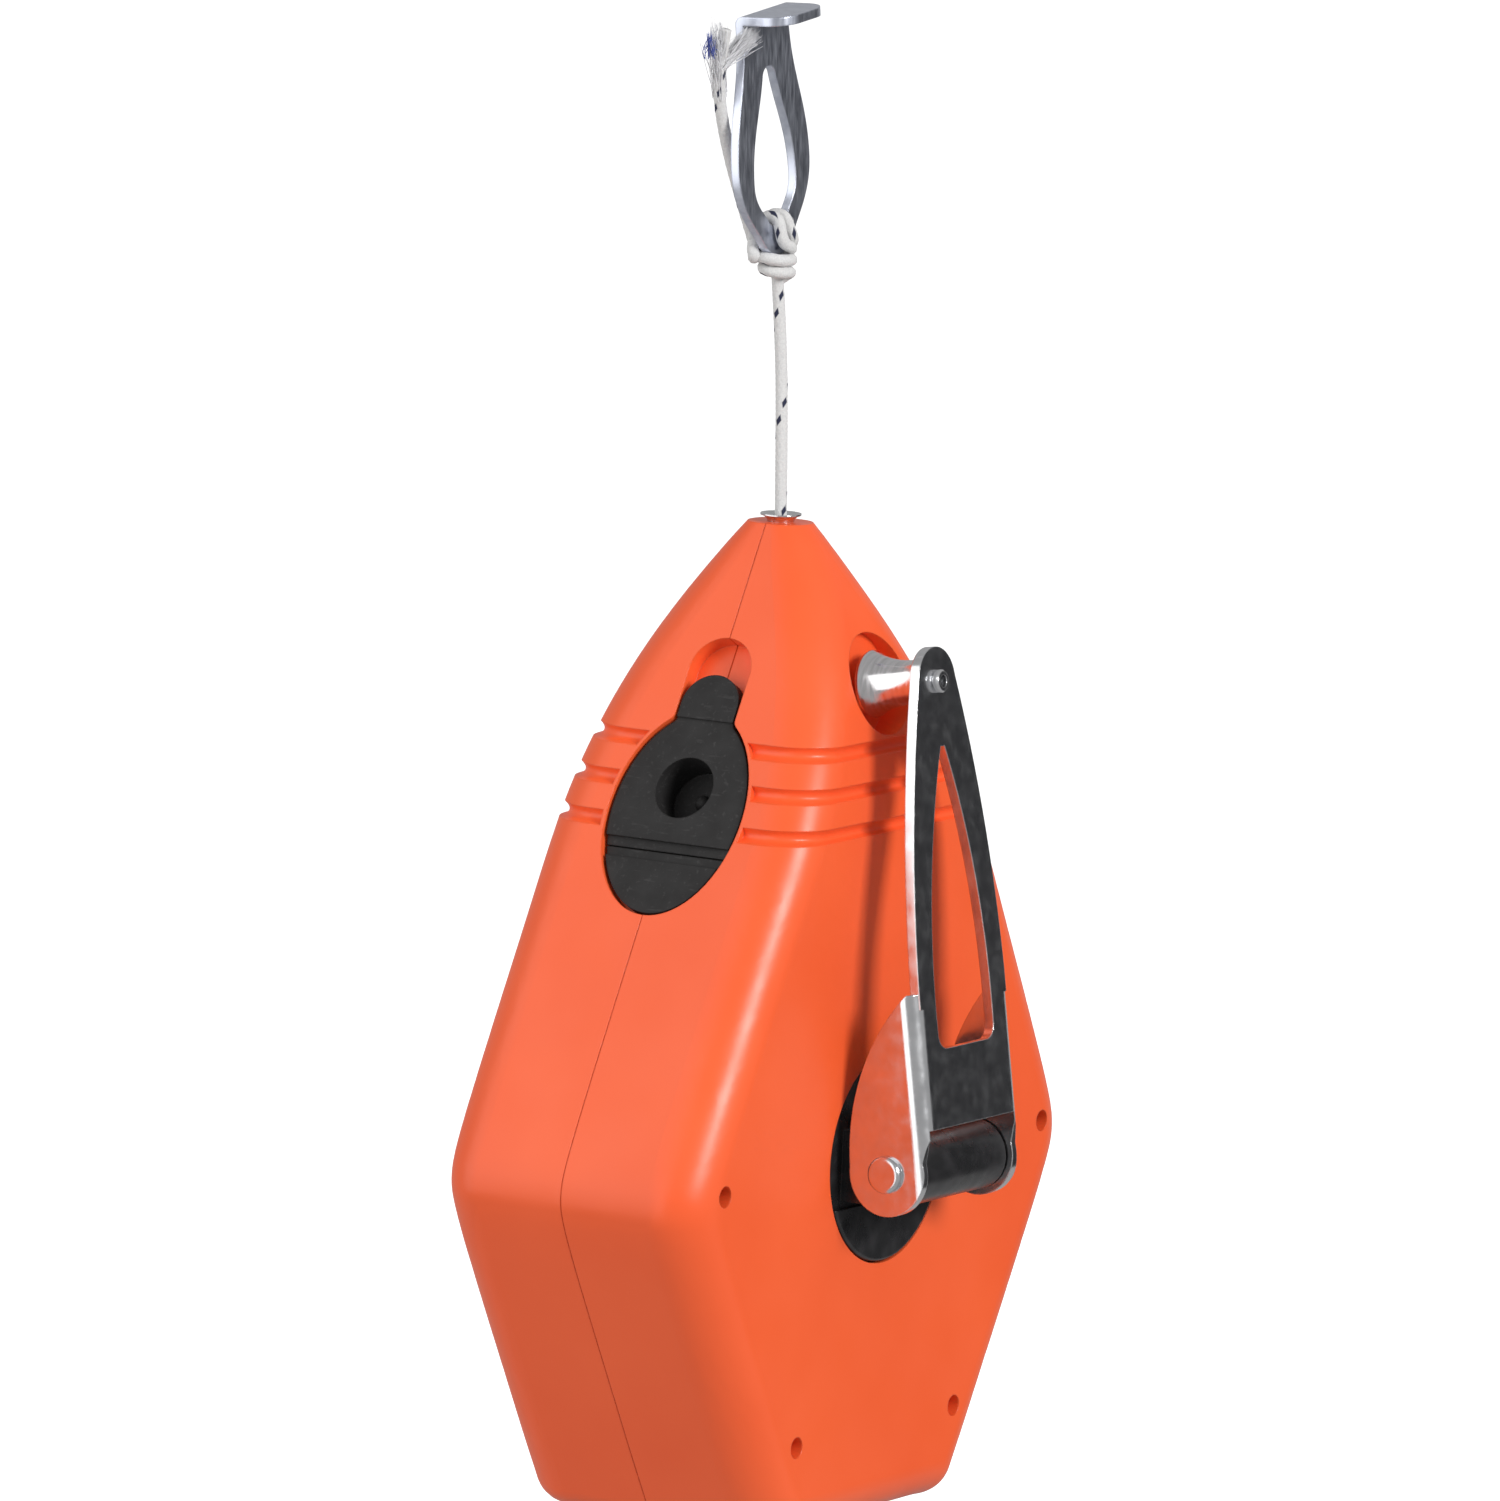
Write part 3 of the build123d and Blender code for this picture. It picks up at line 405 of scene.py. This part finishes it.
def paint_nodes():
    """Give every CAD node its material."""
    groups = {make(): names for make, names in NODE_MATERIALS.items()}
    groups[pale_plastic("spool_plastic", (0.80, 0.80, 0.77), (0.72, 0.72, 0.69))] = ("spool",)
    groups[pale_plastic("bush_plastic", (0.88, 0.88, 0.85), (0.80, 0.80, 0.77))] = ("rear_bush",)
    for material, names in groups.items():
        for name in names:
            nodes[name].data.materials.clear()
            nodes[name].data.materials.append(material)


# --- Line pieces ---

RING_STEP = 0.13  # mm between one ring of a braided tube and the next
RING_SIDES = 28
BRAID_STRANDS = 4
BRAID_LAY = 3.2  # mm along the line for a strand to go a quarter of the way round
BRAID_RELIEF = 0.07  # share of the radius
BETWEEN_FLECKS = (0.5, 0.5 * FLECK_PITCH)  # a place in the UV map with no fleck


def smooth_path(axes, route):
    """Close points along the NURBS line that a route's points control."""
    curve = bpy.data.curves.new("route", "CURVE")
    curve.dimensions = "3D"
    curve.resolution_u = 32
    spline = curve.splines.new("NURBS")
    spline.points.add(len(route) - 1)
    for point, where in zip(spline.points, route):
        point.co = (*place(axes, where), 1.0)
    spline.order_u = 3
    spline.use_endpoint_u = True
    holder = bpy.data.objects.new("route", curve)
    line = bpy.data.meshes.new_from_object(holder)
    points = [v.co.copy() for v in line.vertices]
    bpy.data.objects.remove(holder)
    bpy.data.curves.remove(curve)
    bpy.data.meshes.remove(line)
    return points


def even_steps(points, step):
    """Points a fixed distance apart along a path."""
    spaced = [points[0]]
    carried = 0.0
    for a, b in zip(points, points[1:]):
        run = (b - a).length
        at = step - carried
        while at <= run:
            spaced.append(a.lerp(b, at / run))
            at += step
        carried = run - (at - step)
    return spaced


def braid_relief(turn, along):
    """The braid's radius at a place on it, as a share of the full one, where strands cross."""
    left = math.sin(2 * math.pi * (BRAID_STRANDS * turn + along))
    right = math.sin(2 * math.pi * (BRAID_STRANDS * turn - along))
    return 1.0 - BRAID_RELIEF * (1.0 - abs(left * right))


def tube_faces(first, rings, sides):
    """Quads that join rings of vertices, numbered from first, into a tube."""
    faces = []
    for i in range(rings - 1):
        low, high = first + i * sides, first + (i + 1) * sides
        for j in range(sides):
            k = (j + 1) % sides
            faces.append((low + j, low + k, high + k, high + j))
    return faces


def tube_uvs(rings, twist, first_fleck):
    """For each corner of a braided tube's quads, the turn round it and the mm along it."""
    uvs = []
    for i in range(rings - 1):
        for j in range(RING_SIDES):
            for column, row in ((j, i), (j + 1, i), (j + 1, i + 1), (j, i + 1)):
                uvs.append((column / RING_SIDES + twist, row * RING_STEP + first_fleck))
    return uvs


def braided_tube(name, points, first_fleck=0.0, twist=0.0):
    """A tube along the points, with a braid's relief and a UV map for its material."""
    spaced = even_steps(points, RING_STEP * MM)
    side = (spaced[1] - spaced[0]).orthogonal().normalized()
    vertices = []
    for i, centre in enumerate(spaced):
        ahead = (spaced[min(i + 1, len(spaced) - 1)] - spaced[max(i - 1, 0)]).normalized()
        side = (side - ahead * side.dot(ahead)).normalized()
        other = ahead.cross(side)
        along = i * RING_STEP / BRAID_LAY
        for j in range(RING_SIDES):
            turn = j / RING_SIDES
            relief = braid_relief(turn, along)
            angle = 2 * math.pi * turn
            outwards = side * math.cos(angle) + other * math.sin(angle)
            vertices.append(centre + outwards * relief * LINE_DIAMETER * MM / 2)
    faces = tube_faces(0, len(spaced), RING_SIDES)
    uvs = tube_uvs(len(spaced), twist, first_fleck)
    last = len(vertices) - RING_SIDES
    for ring in (reversed(range(RING_SIDES)), range(last, last + RING_SIDES)):
        faces.append(tuple(ring))
        uvs += [BETWEEN_FLECKS] * RING_SIDES
    return mesh_piece(name, vertices, faces, uvs)


def mesh_piece(name, vertices, faces, uvs=None):
    mesh = bpy.data.meshes.new(name)
    mesh.from_pydata(vertices, [], faces)
    if uvs:
        layer = mesh.uv_layers.new(name="UVMap")
        for loop, uv in zip(layer.data, uvs):
            loop.uv = uv
    mesh.shade_smooth()
    piece = bpy.data.objects.new(name, mesh)
    scene.collection.objects.link(piece)
    return piece


def line_piece(name, points, material, stands_for, **marks):
    """A braided stretch of line that stands for one CAD node."""
    piece = braided_tube(name, points, **marks)
    piece.data.materials.append(material)
    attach(piece, "case")
    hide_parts(stands_for)
    return piece


# --- Loose yarn at the tail's cut end, in millimetres ---

FIBRE_RADIUS = 0.06
FIBRE_THINNING = 0.6  # share of the radius that is lost towards the tip
FIBRE_SIDES = 5
FIBRE_RINGS = 9
ROOT_SPREAD = 0.8
FIBRE_WANDER = 0.35

# The loose fibres: (name, how many, root, tip, spread of the tips, seed), in the hook's axes.
LOOSE_YARNS = (
    ("opened_braid", 150, (-8.3, 22.4, -2.0), (-9.9, 29.3, -0.9), (1.0, 1.0, 0.7), 2),
    ("frayed_fan", 260, (-9.1, 26.6, -1.2), (-4.9, 30.1, 1.5), (0.9, 0.8, 0.3), 3),
    ("frayed_tuft", 60, (-9.6, 27.6, -0.9), (-10.6, 31.9, -0.1), (0.6, 0.6, 0.4), 5),
)
BLUE_YARN = ("blue_yarn", 34, (-11.1, 28.6, -1.2), (-12.2, 31.0, -0.6), (0.25, 0.4, 0.3), 8)


def fibre_vertices(start, middle, end):
    """Rings of vertices round a bent fibre that thins towards its tip."""
    vertices = []
    for i in range(FIBRE_RINGS):
        t = i / (FIBRE_RINGS - 1)
        point = start * (1 - t) ** 2 + middle * 2 * t * (1 - t) + end * t**2
        radius = FIBRE_RADIUS * (1.0 - FIBRE_THINNING * t)
        way = ((end - middle) * t + (middle - start) * (1 - t)).normalized()
        across = way.orthogonal().normalized()
        other = way.cross(across)
        for j in range(FIBRE_SIDES):
            angle = 2 * math.pi * j / FIBRE_SIDES
            offset = across * math.cos(angle) + other * math.sin(angle)
            vertices.append(place(HOOK_AXES, point + offset * radius))
    return vertices


def fibre_bundle(material, name, count, root, tip, spread, seed):
    """Loose fibres that leave a root together and fan out round a tip, as one piece."""
    chance = random.Random(seed)
    vertices, faces = [], []
    for _ in range(count):
        from_root = [chance.uniform(-ROOT_SPREAD, ROOT_SPREAD) for _ in range(3)]
        start = Vector(root) + Vector(from_root)
        end = Vector(tip) + Vector([chance.gauss(0.0, s) for s in spread])
        wander = [chance.gauss(0.0, FIBRE_WANDER) for _ in range(3)]
        middle = (start + end) / 2 + Vector(wander)
        faces += tube_faces(len(vertices), FIBRE_RINGS, FIBRE_SIDES)
        vertices += fibre_vertices(start, middle, end)
    piece = mesh_piece(name, vertices, faces)
    piece.data.materials.append(material)
    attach(piece, "case")
    return piece


def add_line_pieces():
    """The line, its knot, its tail and the tail's frayed end."""
    white = braid()
    line_path = smooth_path(LINE_AXES, LINE_ROUTE)
    knot_path = smooth_path(HOOK_AXES, KNOT_ROUTE)
    tail_path = smooth_path(HOOK_AXES, TAIL_ROUTE)
    line = line_piece("braided_line", line_path, white, "free_line", twist=0.62)
    knot = line_piece("knotted_line", knot_path, white, "line_knot", first_fleck=0.8)
    tail = line_piece("braided_tail", tail_path, white, "line_tail", first_fleck=1.1, twist=0.2)
    off_white = fibre()
    yarns = [fibre_bundle(off_white, *yarn) for yarn in LOOSE_YARNS]
    yarns.append(fibre_bundle(blue_fibre(), *BLUE_YARN))
    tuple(line_path[0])
    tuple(tail_path[0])


# --- Stage, in metres ---

FLOOR_SIDE = 40.0
FLOOR_GLOW = 0.75
DARK_CARD_WAY = Vector((0.844, -0.536, 0.0))  # what the crank's and hook's front faces mirror
DARK_CARD_AWAY = 0.75
DARK_CARD_SIZE = (0.50, 0.70)
LIGHT_AIM = (0.0, 0.0, -0.10)  # about the middle of the hanging reel
AMBIENT = 0.40
LIGHTS = (  # (name, place, (width, height), watts)
    ("key", (-0.28, -1.40, 0.55), (0.50, 0.50), 18.2),
    ("side", (-1.25, 0.65, 0.15), (2.2, 2.0), 17.6),
)


def flat_panel(name, centre, facing, width, height):
    """An upright or level rectangle that faces a way."""
    turn = facing.normalized().to_track_quat("Z", "Y").to_matrix()
    corners = ((-1, -1), (1, -1), (1, 1), (-1, 1))
    half = Vector((width / 2, height / 2, 0.0))
    vertices = [centre + turn @ Vector((x * half.x, y * half.y, 0.0)) for x, y in corners]
    panel = mesh_piece(name, vertices, [(0, 1, 2, 3)])
    return panel


def add_floor():
    """A white ground under the hanging reel that neither lights it nor shows in it."""
    centre = Vector((0.0, 0.0, cad_box[0].z - FLOOR_DROP * MM))
    floor = flat_panel("floor", centre, Vector((0, 0, 1)), FLOOR_SIDE, FLOOR_SIDE)
    paint = Nodes("floor_paint")
    paint.set(Base_Color=(0.93, 0.93, 0.93, 1.0), Roughness=0.8)
    paint.set(Emission_Color=(1.0, 1.0, 1.0, 1.0), Emission_Strength=FLOOR_GLOW)
    floor.data.materials.append(paint.material)
    floor.visible_diffuse = False
    floor.visible_glossy = False


def add_dark_card():
    """A card seen only in reflections, so that steel facing forwards looks dark."""
    centre = DARK_CARD_WAY * DARK_CARD_AWAY + Vector(LIGHT_AIM)
    card = flat_panel("dark_card", centre, -DARK_CARD_WAY, *DARK_CARD_SIZE)
    paint = Nodes("card_paint")
    paint.set(Base_Color=(0.03, 0.03, 0.033, 1.0), Roughness=0.8)
    card.data.materials.append(paint.material)
    card.visible_camera = False
    card.visible_diffuse = False
    card.visible_shadow = False


def add_light(name, place_at, size, power):
    data = bpy.data.lights.new(name, "AREA")
    data.shape = "RECTANGLE"
    data.size, data.size_y = size
    data.energy = power
    light = bpy.data.objects.new(name, data)
    scene.collection.objects.link(light)
    light.location = place_at
    aim = Vector(LIGHT_AIM) - Vector(place_at)
    light.rotation_euler = aim.to_track_quat("-Z", "Y").to_euler()
    light.visible_camera = False


def add_lighting():
    scene.view_settings.view_transform = "Standard"
    world = bpy.data.worlds.new("world")
    world.use_nodes = True
    background = world.node_tree.nodes["Background"]
    background.inputs["Color"].default_value = (1.0, 1.0, 1.0, 1.0)
    background.inputs["Strength"].default_value = AMBIENT
    scene.world = world
    for light in LIGHTS:
        add_light(*light)


add_camera()
add_line_pieces()
paint_nodes()
add_floor()
add_dark_card()
add_lighting()
